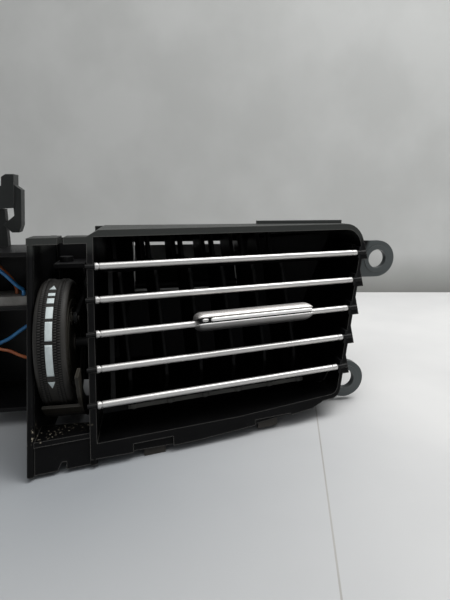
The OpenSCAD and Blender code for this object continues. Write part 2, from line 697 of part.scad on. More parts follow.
// Marks on the tread, as [start, end] angles up from straight ahead
mark_bars = [[-9.5, 16], [19, 34.4], [37, 47.6], [51.3, 56.6], [59.6, 63]];

module sector(r, a0, a1) polygon([[0, 0], for (a = [a0 : (a1 - a0) / 4 : a1]) [-r * cos(a), r * sin(a)]]);

module mark_solids(r0, r1, side) {
    for (m = mark_bars) intersection() {
        along_x(wheel_mid - mark_w / 2 - side, wheel_mid + mark_w / 2 + side) difference() {
            sector(r1 * 1.1, m[0] - side * 2, m[1] + side * 2);
            circle(r = r0);
        }
        rod_x(r1, wheel_x0, wheel_x1);
    }
    for (m = [[71.3, 1], [-18.1, -1]]) arrow(m[0], m[1], r0, r1, side);
}

// Triangle on the tread at an angle up from straight ahead, pointing up or down
module arrow(a, dir, r0, r1, side) rotate([-a, 0, 0]) intersection() {
    translate([wheel_mid, 0, 0]) rotate([90, 0, 0]) translate([0, 0, r0]) linear_extrude(r1 - r0 + 1)
        polygon([[-mark_w / 2 - side, -dir * (1.5 + side)], [mark_w / 2 + side, -dir * (1.5 + side)],
            [0, dir * (1.5 + 2 * side)]]);
    rod_x(r1, wheel_x0, wheel_x1);
}

module wheel_hub() place() color([0.1, 0.1, 0.1]) on_wheel() difference() {
    union() {
        difference() {
            rod_x(wheel_r - tyre_t, wheel_x0 + 0.6, wheel_x1 - 0.6);
            rod_x(wheel_r - tyre_t - 2, wheel_x0 - 1, wheel_x1 - web);
            for (r = wheel_grooves) difference() {
                rod_x(r + 0.8, wheel_x1 - 1, wheel_x1 + 1);
                rod_x(r - 0.8, wheel_x1 - 2, wheel_x1 + 2);
            }
        }
        rod_x(axle_r + 2, wheel_x0 + 0.3, wheel_x1);
        for (a = [0:60:300]) rotate([a, 0, 0]) translate([wheel_x0 + 1.5, -0.8, axle_r + 1])
            cube([wheel_w - 1.5 - web + 0.2, 1.6, wheel_r - tyre_t - axle_r - 2]);
        rotate([crank_dir, 0, 0]) translate([0, crank_r, 0]) rod_x(2.6, wheel_x1 - web, wheel_x1 - 0.2);
        rotate([crank_dir, 0, 0]) translate([0, crank_r, 0]) rod_x(1.2, wheel_x1 - 1, link_x0 + link_t + 0.6);
    }
    rod_x(axle_r + fit, wheel_x0 - 1, wheel_x1 + 1);
}

module wheel_tyre() place() color([0.17, 0.16, 0.15]) on_wheel() difference() {
    translate([wheel_mid, 0, 0]) rotate([0, 90, 0]) rotate_extrude() polygon(concat(
        [[wheel_r - tyre_t, -wheel_w / 2], [wheel_r - 1.6, -wheel_w / 2]],
        [[wheel_r - 0.5, -wheel_w / 2 + 1.3], [wheel_r - 0.5, -3.9], [wheel_r, -3.6], [wheel_r, -2.2],
         [wheel_r - 0.35, -2], [wheel_r - 0.35, 2], [wheel_r, 2.2], [wheel_r, 3.6], [wheel_r - 0.5, 3.9],
         [wheel_r - 0.5, wheel_w / 2 - 1.3]],
        [[wheel_r - 1.6, wheel_w / 2], [wheel_r - tyre_t, wheel_w / 2]]));
    mark_solids(wheel_r - tyre_t - 1, wheel_r + 1, 0.05);
}

module wheel_marks() place() color([0.85, 0.88, 0.88]) on_wheel() mark_solids(wheel_r - tyre_t, wheel_r - 0.15, 0);

module wheel_axle() place() color([0.6, 0.6, 0.62]) on_wheel() rod_x(axle_r, bay_left - 1.2, -0.8);

// Curved guard in front of the wheel's foot, fixed to the mid wall
guard_x0 = bay_left + 1.2;
guard_x1 = -mid_wall - 4;
guard_r = wheel_r + 1.8;
module wheel_guard() place() color([0.13, 0.13, 0.13]) {
    on_wheel() intersection() {
        along_x(guard_x0, guard_x1 + 1) difference() {
            sector(guard_r + 1.2, -80, -38);
            circle(r = guard_r);
        }
        translate([guard_x0, -60, -60]) cube([60, 60, 60]);
    }
    on_wheel() along_x(guard_x1, guard_x1 + 1.2) difference() {
        sector(guard_r + 1.2, -80, -8);
        circle(r = wheel_r - 4);
    }
    translate([guard_x1, wheel_y - 8, wheel_z - guard_r - 1]) cube([-mid_wall - guard_x1, 8, 3]);
}

// Lamp holder under the bay's roof, which lights the wheel's marks
module lamp_holder() place() color([0.1, 0.1, 0.1]) {
    lamp_back = bay_back - wall;
    translate([bay_left + 2, 33, 21.5]) cube([bay_w - 6, lamp_back - 33, 1.8]);
    translate([bay_left + 2, lamp_back - 4, 23]) cube([bay_w - 6, 4, 8]);
    translate([wheel_mid, 42, 23]) cylinder(r = 3, h = 2.6);
}

// Shut-off flap on its shaft, with a soft edge, and the lever at its left end
foam_band = 8.4;
foam_t = 1.2;
module on_flap() translate([0, flap_y, flap_z]) children();

module damper_flap() place() color([0.1, 0.1, 0.1]) on_flap() difference() {
    union() {
        rotate([flap_rest, 0, 0]) translate([duct_x0 + 0.7, shaft_r + 0.3, -flap_t / 2])
            cube([outlet_w - 1.4, flap_l - shaft_r - 0.3, flap_t]);
        rod_x(shaft_r + 0.9, duct_x0 + 0.5, duct_x1 - 0.5);
    }
    rod_x(shaft_r, duct_x0 - 1, duct_x1 + 1);
}

// Pale foam that wraps the flap's back edge and the face towards the vanes
module flap_seal() place() color([0.5, 0.5, 0.48]) on_flap() rotate([flap_rest, 0, 0]) {
    translate([duct_x0 + 0.7, flap_l, -flap_t / 2 + 0.3]) cube([outlet_w - 1.4, 1.9, flap_t - 0.3]);
    translate([duct_x0 + 0.7, flap_l - foam_band, flap_t / 2]) cube([outlet_w - 1.4, foam_band + 0.8, foam_t]);
}

module flap_shaft() place() color([0.45, 0.45, 0.47]) on_flap() {
    rod_x(shaft_r, link_x0 + link_t + gap, duct_x1 + wall + 2.5);
    rotate([crank_dir, 0, 0]) translate([link_x0 + link_t + gap, 0, -2]) cube([1.6, crank_r, 4]);
    rotate([crank_dir, 0, 0]) translate([0, crank_r, 0]) rod_x(2.4, link_x0 + link_t + gap, link_x0 + link_t + gap + 1.6);
    rotate([crank_dir, 0, 0]) translate([0, crank_r, 0]) rod_x(1.2, link_x0 - 0.6, link_x0 + link_t + gap + 1);
    rod_x(shaft_r + 1.4, link_x0 + link_t + gap, link_x0 + link_t + gap + 2);
}

// Rod from the wheel's crank to the flap's lever
link_x0 = wheel_x1 + gap;
link_t = 1.4;
module flap_link() place() color([0.3, 0.3, 0.3]) {
    dy = flap_y - wheel_y;
    dz = flap_z - wheel_z;
    span = sqrt(dy * dy + dz * dz);
    translate([0, wheel_y + crank_r * cos(crank_dir), wheel_z + crank_r * sin(crank_dir)])
        rotate([atan2(dz, dy), 0, 0]) difference() {
            union() {
                translate([link_x0, 0, -1.5]) cube([link_t, span, 3]);
                rod_x(2.6, link_x0, link_x0 + link_t);
                translate([0, span, 0]) rod_x(2.6, link_x0, link_x0 + link_t);
            }
            rod_x(1.2 + fit, link_x0 - 1, link_x0 + link_t + 1);
            translate([0, span, 0]) rod_x(1.2 + fit, link_x0 - 1, link_x0 + link_t + 1);
        }
}

// Cover over the rod and the lever, behind the thumbwheel bay
cover_x0 = link_x0 - 3.4;
cover_back = flap_y + 16;
module linkage_cover() place() color([0.1, 0.1, 0.11]) difference() {
    translate([cover_x0, bay_back, -14]) cube([-mid_wall - cover_x0, cover_back - bay_back, 36]);
    translate([cover_x0 + 1.4, bay_back - 1, -12.6]) cube([40, cover_back - bay_back - 0.4, 33.2]);
    translate([cover_x0 + 5, shell_back - 2.5, -20]) cube([40, 5, 50]);
}

// Box beside the thumbwheel, cut open in front, where the wires run
module centre_box() place() color([0.08, 0.08, 0.09]) {
    x0 = outer_left - box_w - wall;
    difference() {
        translate([x0, box_front, -box_bottom]) cube([box_w + wall, bay_back - box_front, box_bottom + box_top]);
        translate([x0 + wall, box_front - 1, -box_bottom + wall])
            cube([box_w + 1, bay_back - box_front - wall + 1, box_bottom + box_top - 2 * wall]);
    }
    translate([x0 + 1, box_front + 6, 4.4]) cube([box_w, bay_back - box_front - 7, 1.6]);
}

module box_connector() place() color([0.5, 0.5, 0.48])
    translate([outer_left - 24, box_front + 8, 6]) cube([18, 14, 4]);

// Socket bracket that stands on the box
module socket_bracket() place() color([0.14, 0.14, 0.15]) {
    along_y(44, 52) polygon([[-50, 46.6], [-37, 47.4], [-36.4, 49], [-35.3, 62], [-38.7, 62], [-40.6, 60.8],
        [-41, 57], [-50, 57]]);
    along_y(45, 51) polygon([[-38.6, 36.5], [-35.6, 36.5], [-34.3, 39.7], [-33, 55.3], [-35.8, 57.5],
        [-37, 57.5], [-37, 44], [-42, 40]]);
    translate([-46, 46, box_top]) cube([5, 4, 47 - box_top]);
}

// Wires in the box, as hand-set points across, back and up
blue_route = [[-50, 31, 26], [-44, 30, 24], [-39, 29, 20], [-35, 30, 15], [-33, 32, 12.5], [-33, 32, 10]];
orange_route = [[-48, 34, 27], [-45, 33, 26], [-42, 33, 23], [-38, 35, 17], [-37, 37, 12.5], [-37, 37, 10]];
wire_r = 0.8;

function unit(v) = v / norm(v);
function ring(p, t, r, sides) = let (a = unit(cross(t, [0, 1, 0.3])), b = cross(t, a))
    [for (k = [0:sides - 1]) p + r * (a * cos(360 * k / sides) + b * sin(360 * k / sides))];
function heading(path, i) = unit(path[min(i + 1, len(path) - 1)] - path[max(i - 1, 0)]);

module tube(path, r, sides) {
    last = len(path) - 1;
    points = [for (i = [0:last]) each ring(path[i], heading(path, i), r, sides)];
    faces = concat([[for (k = [sides - 1:-1:0]) k]],
        [for (i = [0:last - 1]) for (k = [0:sides - 1])
            [i * sides + k, i * sides + (k + 1) % sides, (i + 1) * sides + (k + 1) % sides, (i + 1) * sides + k]],
        [[for (k = [0:sides - 1]) last * sides + k]]);
    polyhedron(points, faces);
}

module wire_blue() place() color([0.15, 0.4, 0.65]) tube(blue_route, wire_r, 8);
module wire_orange() place() color([0.75, 0.3, 0.12]) tube(orange_route, wire_r, 8);

vent_housing();
lower_clips();
pivot_clips();
rear_duct();
duct_seal();
duct_screws();
vane_rail_top();
vane_rail_bottom();
vane_blade(1);  // vane_blade_1
vane_blade(2);  // vane_blade_2
vane_blade(3);  // vane_blade_3
vane_blade(4);  // vane_blade_4
vane_blade(5);  // vane_blade_5
vane_trim(1);  // vane_trim_1
vane_trim(2);  // vane_trim_2
vane_trim(3);  // vane_trim_3
vane_trim(4);  // vane_trim_4
vane_trim(5);  // vane_trim_5
vane_link();
air_vane(1);  // air_vane_1
air_vane(2);  // air_vane_2
air_vane(3);  // air_vane_3
air_vane(4);  // air_vane_4
air_vane(5);  // air_vane_5
air_vane(6);  // air_vane_6
air_vane_link();
tab_upper();
tab_lower();
tab_strip();
tab_fork();
wheel_hub();
wheel_tyre();
wheel_marks();
wheel_axle();
wheel_guard();
lamp_holder();
damper_flap();
flap_seal();
flap_shaft();
flap_link();
linkage_cover();
centre_box();
box_connector();
socket_bracket();
wire_blue();
wire_orange();
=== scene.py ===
import bpy
import math
import numpy as np
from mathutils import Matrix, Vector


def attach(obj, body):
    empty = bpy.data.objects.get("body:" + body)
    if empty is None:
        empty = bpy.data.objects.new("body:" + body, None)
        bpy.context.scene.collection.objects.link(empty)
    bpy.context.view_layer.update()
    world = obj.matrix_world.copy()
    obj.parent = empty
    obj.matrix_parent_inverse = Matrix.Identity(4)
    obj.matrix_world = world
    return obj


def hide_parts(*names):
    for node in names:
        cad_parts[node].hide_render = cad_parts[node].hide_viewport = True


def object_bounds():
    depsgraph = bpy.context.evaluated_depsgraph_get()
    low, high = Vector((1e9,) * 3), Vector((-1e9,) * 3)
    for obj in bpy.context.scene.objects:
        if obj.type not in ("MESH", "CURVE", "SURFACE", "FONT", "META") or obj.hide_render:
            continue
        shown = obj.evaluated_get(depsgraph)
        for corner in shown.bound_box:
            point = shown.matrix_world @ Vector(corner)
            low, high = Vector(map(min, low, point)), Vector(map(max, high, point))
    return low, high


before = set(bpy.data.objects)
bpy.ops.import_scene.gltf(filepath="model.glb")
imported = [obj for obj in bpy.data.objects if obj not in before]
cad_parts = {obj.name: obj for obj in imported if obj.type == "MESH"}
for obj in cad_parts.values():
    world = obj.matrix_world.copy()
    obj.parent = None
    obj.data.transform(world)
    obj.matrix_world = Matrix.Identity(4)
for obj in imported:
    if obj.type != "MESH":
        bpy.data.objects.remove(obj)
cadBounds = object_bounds()
print("frame loaded")

# the drawing's own origin is the middle bar's left end; the frame's is the upper ear hole
ear = np.array([139.0, 44.5, 21.0])


def place(points):  # millimetres from the middle bar's left end, to metres in the frame
    return (np.asarray(points, float) - ear) / 1000.0


front = dict(sweep=12.0, rake=20.6, openWidth=117.5, wallLean=18.85, barPitch=13.46)
tilt = math.atan(math.tan(math.radians(front["rake"])) * math.cos(math.radians(front["sweep"])))
sweep = math.radians(front["sweep"])
alongBar = np.array([math.cos(sweep), math.sin(sweep), 0.0])
behind = np.array([-math.sin(sweep) * math.cos(tilt), math.cos(sweep) * math.cos(tilt), -math.sin(tilt)])
upFace = np.array([-math.sin(sweep) * math.sin(tilt), math.cos(sweep) * math.sin(tilt), math.cos(tilt)])


def onFace(u, n, w):  # u along the bars, n behind the face, w up the face, as arrays of one shape
    return u[..., None] * alongBar + n[..., None] * behind + w[..., None] * upFace


# ---- camera
cameraView = dict(place=(-0.1177, -0.2181, 0.0305), turnRight=9.8, lookDown=12.7, lens=36.0, sensor=36.0)


def addCamera():
    data = bpy.data.cameras.new("photoCamera")
    data.sensor_fit = "HORIZONTAL"
    data.sensor_width = cameraView["sensor"]
    data.lens = cameraView["lens"]
    data.clip_start = 0.005
    camera = bpy.data.objects.new("photoCamera", data)
    camera.location = cameraView["place"]
    camera.rotation_euler = (math.radians(90 - cameraView["lookDown"]), 0, -math.radians(cameraView["turnRight"]))
    bpy.context.scene.collection.objects.link(camera)
    bpy.context.scene.camera = camera


addCamera()
print("camera set")


# ---- mesh and shader helpers
def gridMesh(name, points, closeU=False, closeV=False, capU=False):
    # points is a grid of places; each cell becomes one four-sided face
    rows, cols = points.shape[:2]
    index = np.arange(rows * cols).reshape(rows, cols)
    if closeU:
        index = np.vstack([index, index[:1]])
    if closeV:
        index = np.hstack([index, index[:, :1]])
    quads = np.stack([index[:-1, :-1], index[:-1, 1:], index[1:, 1:], index[1:, :-1]], axis=-1).reshape(-1, 4)
    faces = quads.tolist()
    if capU:
        faces += [index[0, :cols][::-1].tolist(), index[-1, :cols].tolist()]
    mesh = bpy.data.meshes.new(name)
    mesh.from_pydata(points.reshape(-1, 3).tolist(), [], faces)
    mesh.validate()
    mesh.polygons.foreach_set("use_smooth", [len(f) == 4 for f in faces])
    piece = bpy.data.objects.new(name, mesh)
    bpy.context.scene.collection.objects.link(piece)
    return piece


def dress(piece, material):
    piece.data.materials.clear()
    piece.data.materials.append(material)


def addNode(tree, kind, **settings):
    made = tree.nodes.new(kind)
    for key, value in settings.items():
        if key in made.inputs:
            made.inputs[key].default_value = value
        else:
            setattr(made, key, value)
    return made


def noiseOn(tree, scale, detail=2.0, stretch=None, turn=None):
    coord = addNode(tree, "ShaderNodeTexCoord")
    source = coord.outputs["Object"]
    if stretch:
        mapping = addNode(tree, "ShaderNodeMapping", vector_type="TEXTURE")
        mapping.inputs["Rotation"].default_value = turn or (0, 0, 0)
        mapping.inputs["Scale"].default_value = stretch
        tree.links.new(source, mapping.inputs["Vector"])
        source = mapping.outputs["Vector"]
    noise = addNode(tree, "ShaderNodeTexNoise", Scale=scale, Detail=detail)
    tree.links.new(source, noise.inputs["Vector"])
    return noise.outputs["Fac"]


def ramp(tree, source, low, high, start=0.0, end=1.0):
    mapped = addNode(tree, "ShaderNodeMapRange")
    mapped.inputs["From Min"].default_value = low
    mapped.inputs["From Max"].default_value = high
    mapped.inputs["To Min"].default_value = start
    mapped.inputs["To Max"].default_value = end
    tree.links.new(source, mapped.inputs["Value"])
    return mapped.outputs["Result"]


def blendColour(tree, amount, first, second):
    mix = addNode(tree, "ShaderNodeMix", data_type="RGBA")
    tree.links.new(amount, mix.inputs["Factor"])
    for socket, value in ((mix.inputs[6], first), (mix.inputs[7], second)):
        if hasattr(value, "links"):
            tree.links.new(value, socket)
        else:
            socket.default_value = (*value, 1)
    return mix.outputs[2]


def alongAxis(tree, direction):  # distance along a direction from the frame's origin, in metres
    coord = addNode(tree, "ShaderNodeTexCoord")
    product = addNode(tree, "ShaderNodeVectorMath", operation="DOT_PRODUCT")
    tree.links.new(coord.outputs["Object"], product.inputs[0])
    product.inputs[1].default_value = direction
    return product.outputs["Value"]


def multiply(tree, first, second):
    product = addNode(tree, "ShaderNodeMath", operation="MULTIPLY")
    tree.links.new(first, product.inputs[0])
    tree.links.new(second, product.inputs[1])
    return product.outputs["Value"]


def edgeAmount(tree, radius):
    # how far the rounded normal leans from the true one, which is only so near an edge
    rounded = addNode(tree, "ShaderNodeBevel", samples=4, Radius=radius)
    flat = addNode(tree, "ShaderNodeNewGeometry")
    product = addNode(tree, "ShaderNodeVectorMath", operation="DOT_PRODUCT")
    tree.links.new(rounded.outputs["Normal"], product.inputs[0])
    tree.links.new(flat.outputs["True Normal"], product.inputs[1])
    return ramp(tree, product.outputs["Value"], 0.985, 0.80)


def surface(name, look):
    # colour drifts between two tones in soft clouds; a region, edges lightened by wear and a painted highlight,
    # and flecks of dust may lie over it, and a grain gives the bump
    material = bpy.data.materials.new(name)
    material.use_nodes = True
    tree = material.node_tree
    shader = tree.nodes["Principled BSDF"]
    clouds = noiseOn(tree, look["cloudScale"], 3.0)
    colour = blendColour(tree, ramp(tree, clouds, 0.35, 0.65), look["colour"], look["otherColour"])
    for zone in look.get("zones", ()):
        amount = ramp(tree, alongAxis(tree, zone["along"]), zone["start"], zone["end"], 0.0, zone.get("most", 1.0))
        colour = blendColour(tree, amount, colour, zone["colour"])
    # near edges the colour turns paler: partly wear, partly a painted highlight
    if look.get("edge"):
        colour = blendColour(tree, ramp(tree, edgeAmount(tree, 0.0005), 0, 1, 0, look["edge"]), colour,
                             look["edgeColour"])
    if look.get("dust"):
        flecks = noiseOn(tree, look["dustScale"], 4.0)
        amount = ramp(tree, flecks, look["dustFrom"], look["dustFrom"] + 0.1, 0.0, look["dust"])
        colour = blendColour(tree, amount, colour, look["dustColour"])
    if look.get("crumbs"):
        flecks = noiseOn(tree, 900, 3.0)
        patches = noiseOn(tree, 75, 1.0)
        low = multiply(tree, ramp(tree, alongAxis(tree, (0, 0, -1)), 0.0485, 0.052),
                       ramp(tree, alongAxis(tree, (0, 0, -1)), 0.0572, 0.0565))
        left = multiply(tree, ramp(tree, alongAxis(tree, (-1, 0, 0)), 0.118, 0.128), low)
        amount = multiply(tree, multiply(tree, ramp(tree, flecks, 0.60, 0.68), ramp(tree, patches, 0.50, 0.60)), left)
        colour = blendColour(tree, amount, colour, (0.30, 0.27, 0.21))
    # painted shade in the tread's recesses: a per-point amount darkens the rubber there
    if look.get("groove"):
        depth = addNode(tree, "ShaderNodeAttribute", attribute_name="groove")
        colour = blendColour(tree, depth.outputs["Fac"], colour, look["groove"])
    tree.links.new(colour, shader.inputs["Base Color"])
    grain = noiseOn(tree, look["grainScale"], 2.0, look.get("stretch"), look.get("turn"))
    rough = ramp(tree, grain, 0.3, 0.7, look["rough"] - look["roughSpread"], look["rough"] + look["roughSpread"])
    tree.links.new(rough, shader.inputs["Roughness"])
    bump = addNode(tree, "ShaderNodeBump", Strength=look["bump"], Distance=look["bumpDepth"])
    tree.links.new(grain, bump.inputs["Height"])
    tree.links.new(bump.outputs["Normal"], shader.inputs["Normal"])
    shader.inputs["Metallic"].default_value = look.get("metal", 0.0)
    shader.inputs["Specular IOR Level"].default_value = look.get("gloss", 0.5)
    return material


blackLook = dict(colour=(0.0045, 0.0045, 0.005), otherColour=(0.007, 0.007, 0.0075), cloudScale=70,
                 dust=0.05, dustScale=1500, dustFrom=0.66, dustColour=(0.16, 0.15, 0.14),
                 grainScale=2600, rough=0.40, roughSpread=0.08, bump=0.2, bumpDepth=0.00005, gloss=0.2)


def blackPlastic(name, **changes):
    return surface(name, {**blackLook, **changes})


silverLook = dict(colour=(0.66, 0.65, 0.63), otherColour=(0.60, 0.59, 0.575), cloudScale=40, grainScale=3200,
                  rough=0.38, roughSpread=0.04, bump=0.06, bumpDepth=0.00001, metal=0.75)


def satinMetal(name, **changes):
    return surface(name, {**silverLook, **changes})


def wireSkin(name, colour, other):
    return surface(name, dict(colour=colour, otherColour=other, cloudScale=300, grainScale=900, rough=0.32,
                              roughSpread=0.05, bump=0.05, bumpDepth=0.00003))


# the lower wing gets a painted highlight along its front lip and painted shade under its belly; the middle bar's
# line is at lineUp
lineUp = float(np.dot(upFace, -ear / 1000.0))
paintedLipHighlight = dict(along=tuple(upFace), start=lineUp - 0.0013, end=lineUp - 0.0010, colour=(0.85, 0.84, 0.82))
paintedBellyShade = dict(along=tuple(-upFace), start=-lineUp + 0.0019, end=-lineUp + 0.0036, colour=(0.05, 0.05, 0.05))

# which finish each solid gets; the colour is a paler slate over the screw ears, the shell's top band and top
# rim are paler as a painted sheen from light above, and its edges are grey from wear and a painted highlight
paintedTopSheen = dict(along=(0, 0, 1), start=0.0085, end=0.0125, colour=(0.030, 0.032, 0.030))
paintedRailSheen = dict(along=(0, 0, 1), start=0.0181, end=0.0188, colour=(0.075, 0.08, 0.077))
slateZone = dict(along=(1, 0, -0.3414), start=-0.0092, end=-0.0072, colour=(0.095, 0.106, 0.107))
finishes = dict(
    housingBlack=blackPlastic("housingBlack", colour=(0.0016, 0.0016, 0.0018), otherColour=(0.003, 0.003, 0.0032),
                              zones=(paintedTopSheen, paintedRailSheen, slateZone), edge=0.55,
                              edgeColour=(0.16, 0.155, 0.145), crumbs=True, gloss=0.13),
    boxBlack=blackPlastic("boxBlack", colour=(0.004, 0.004, 0.0045), otherColour=(0.006, 0.006, 0.0065),
                          edge=0.6, edgeColour=(0.06, 0.058, 0.055), gloss=0.22),
    hubBrown=blackPlastic("hubBrown", colour=(0.018, 0.016, 0.013), otherColour=(0.028, 0.025, 0.020), edge=0.6,
                          edgeColour=(0.10, 0.095, 0.08)),
    ductBlack=blackPlastic("ductBlack", rough=0.5),
    railSlate=blackPlastic("railSlate", colour=(0.10, 0.11, 0.108), otherColour=(0.13, 0.14, 0.137), gloss=0.4),
    vaneBlack=blackPlastic("vaneBlack", rough=0.36),
    bladeBlack=blackPlastic("bladeBlack", colour=(0.003, 0.003, 0.003), otherColour=(0.005, 0.005, 0.005),
                            rough=0.45, gloss=0.2),
    clipBrown=blackPlastic("clipBrown", colour=(0.030, 0.027, 0.023), otherColour=(0.045, 0.041, 0.036)),
    seatBlack=blackPlastic("seatBlack", colour=(0.012, 0.012, 0.012), otherColour=(0.018, 0.018, 0.018), rough=0.5),
    linkGrey=blackPlastic("linkGrey", colour=(0.10, 0.10, 0.092), otherColour=(0.15, 0.148, 0.135), rough=0.5),
    bracketGrey=blackPlastic("bracketGrey", colour=(0.022, 0.024, 0.023), otherColour=(0.030, 0.032, 0.031),
                             edge=0.6, edgeColour=(0.09, 0.09, 0.088)),
    foamBlack=blackPlastic("foamBlack", colour=(0.02, 0.02, 0.021), otherColour=(0.035, 0.035, 0.036), rough=0.9,
                           roughSpread=0.05, grainScale=900, bump=0.8, bumpDepth=0.0004, dust=0.0),
    foamPale=blackPlastic("foamPale", colour=(0.30, 0.30, 0.285), otherColour=(0.40, 0.40, 0.385), rough=0.9,
                          roughSpread=0.05, grainScale=1100, bump=0.7, bumpDepth=0.0003, dust=0.0),
    rubberBlack=blackPlastic("rubberBlack", colour=(0.026, 0.025, 0.023), otherColour=(0.036, 0.034, 0.031),
                             rough=0.55, dust=0.12, dustFrom=0.60, groove=(0.001, 0.001, 0.001)),
    markWhite=surface("markWhite", dict(colour=(0.66, 0.73, 0.73), otherColour=(0.58, 0.65, 0.65), cloudScale=500,
                                        grainScale=1500, rough=0.35, roughSpread=0.05, bump=0.05,
                                        bumpDepth=0.00003)),
    barSilver=satinMetal("barSilver"),
    tabSilver=satinMetal("tabSilver", colour=(0.68, 0.655, 0.63), otherColour=(0.62, 0.595, 0.575), rough=0.42),
    # the lower wing's silver is a darker copy of the tab's silver: painted shade, under its painted lip highlight and
    # belly shade
    tabShade=satinMetal("tabShade", colour=(0.33, 0.325, 0.315), otherColour=(0.27, 0.265, 0.26), rough=0.42,
                        zones=(paintedBellyShade, paintedLipHighlight)),
    stripBright=satinMetal("stripBright", colour=(0.92, 0.91, 0.89), otherColour=(0.88, 0.87, 0.85), metal=0.35),
    steel=satinMetal("steel", colour=(0.5, 0.5, 0.52), otherColour=(0.42, 0.42, 0.44), metal=1.0),
    greyPlastic=surface("greyPlastic", dict(colour=(0.17, 0.165, 0.15), otherColour=(0.26, 0.25, 0.235),
                                            cloudScale=160, grainScale=1500, rough=0.5, roughSpread=0.1,
                                            bump=0.2, bumpDepth=0.00005)),
    blueSkin=wireSkin("blueSkin", (0.03, 0.15, 0.36), (0.04, 0.20, 0.43)),
    orangeSkin=wireSkin("orangeSkin", (0.36, 0.09, 0.03), (0.46, 0.14, 0.05)),
)

wearing = dict(
    vent_housing="housingBlack", lower_clips="clipBrown", pivot_clips="vaneBlack", rear_duct="ductBlack",
    duct_seal="foamBlack", duct_screws="steel", vane_rail_top="ductBlack", vane_rail_bottom="ductBlack",
    vane_link="seatBlack", air_vane_link="linkGrey", tab_upper="tabSilver", tab_lower="tabShade",
    tab_strip="barSilver", tab_fork="bladeBlack", wheel_hub="hubBrown", wheel_tyre="rubberBlack",
    wheel_marks="markWhite", wheel_axle="seatBlack", wheel_guard="hubBrown", lamp_holder="ductBlack",
    damper_flap="ductBlack", flap_seal="foamPale", flap_shaft="steel", flap_link="seatBlack",
    linkage_cover="ductBlack", centre_box="boxBlack", box_connector="greyPlastic",
    socket_bracket="bracketGrey", wire_blue="blueSkin", wire_orange="orangeSkin")
for k in range(1, 6):
    wearing["vane_blade_%d" % k] = "bladeBlack"
    wearing["vane_trim_%d" % k] = "barSilver"
for k in range(1, 7):
    wearing["air_vane_%d" % k] = "bladeBlack"
for nodeName, finish in wearing.items():
    dress(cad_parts[nodeName], finishes[finish])
print("finishes on the solids")


# ---- thumbwheel's tread
tread = dict(middle=(-15.4, 16.5, -7.8), radius=27.0, halfWidth=5.8, teeth=166, toothHeight=0.34, steps=4, markHalf=1.28)


def addMarks():
    # each bar and arrow is a patch of the rim, from the dark strip's floor up to just under the teeth
    spans = [(-9.5, 16, 1, 1), (19, 34.4, 1, 1), (37, 47.6, 1, 1), (51.3, 56.6, 1, 1), (59.6, 63, 1, 1),
             (68.2, 74.6, 1, 0.04), (-21.2, -15.0, 0.04, 1)]
    for number, (low, high, lowWidth, highWidth) in enumerate(spans):
        run = np.linspace(0, 1, 16)
        angle = np.radians(low + (high - low) * run)[:, None]
        half = tread["markHalf"] * (lowWidth + (highWidth - lowWidth) * run)[:, None]
        side = np.array([-1.0, -0.97, -0.9, 0.9, 0.97, 1.0, 1.0, -1.0])[None, :]
        radius = tread["radius"] - np.array([0.22, 0.16, 0.13, 0.13, 0.16, 0.22, 0.8, 0.8])[None, :]
        points = np.stack([side * half, -radius * np.cos(angle), radius * np.sin(angle)], axis=-1) + tread["middle"]
        piece = gridMesh("wheel_mark_%d" % (number + 1), place(points), closeV=True, capU=True)
        dress(piece, finishes["markWhite"])
        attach(piece, "wheel")
        if number == 0:
            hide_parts("wheel_marks")


def addTread():
    # profile radius over x, plus teeth: a square wave round the rim, in two columns on each side of the marks
    half = tread["halfWidth"]
    r = tread["radius"]
    profile = np.array([[-half, r - 2.4], [-half, r - 1.7], [-half + 0.25, r - 1.1], [-half + 0.8, r - 0.6],
                        [-half + 1.5, r - 0.42], [-4.05, r - 0.4], [-3.95, r - 0.32], [-3.8, r - 0.32],
                        [-3.0, r - 0.32], [-2.85, r - 0.34], [-2.8, r - 0.34], [-2.65, r - 0.32], [-1.85, r - 0.32],
                        [-1.68, r - 0.34], [-1.55, r - 0.36], [-1.4, r - 0.36]])
    profile = np.vstack([profile, profile[::-1] * [-1, 1]])
    x = profile[:, 0]
    knurled = ((np.abs(x) > 1.6) & (np.abs(x) < 2.75)) | ((np.abs(x) > 2.9) & (np.abs(x) < 4.0))
    outer = np.abs(x) > 2.83
    count = tread["teeth"] * tread["steps"]
    angle = np.arange(count) * 2 * math.pi / count
    phase = (np.arange(count)[:, None] + np.where(outer, 2, 0)[None, :]) % tread["steps"]
    lift = np.where(knurled[None, :] & (phase < 2), tread["toothHeight"], 0.0)
    radius = profile[None, :, 1] + lift
    points = np.stack([np.broadcast_to(x, radius.shape), -radius * np.cos(angle)[:, None],
                       radius * np.sin(angle)[:, None]], axis=-1) + tread["middle"]
    piece = gridMesh("tread_knurled", place(points), closeU=True, closeV=True)
    # painted shade: the low steps between teeth and the gaps between the tooth columns are marked for darkening
    beside = np.where(knurled, 1.0, 0.0)[None, :] * np.where(phase < 2, 0.0, 1.0)
    lines = np.where((np.abs(x) > 1.5) & (np.abs(x) < 4.1) & ~knurled, 0.85, 0.0)[None, :]
    groove = piece.data.attributes.new("groove", "FLOAT", "POINT")
    groove.data.foreach_set("value", np.maximum(beside, lines).astype(np.float32).ravel())
    dress(piece, finishes["rubberBlack"])
    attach(piece, "wheel")
    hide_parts("wheel_tyre")


# ---- bright bars
bar = dict(radius=1.35, collar=1.5, neck=1.15, collarLength=1.3, startGap=0.4, endGap=2.4, sides=36)


def barEnds(k):
    w = (3 - k) * front["barPitch"]
    left = math.tan(sweep) * math.sin(tilt) * w
    wallX = front["openWidth"] + math.tan(math.radians(front["wallLean"])) * w * math.cos(tilt)
    return w, left + bar["startGap"], wallX / math.cos(sweep) + left - bar["endGap"]


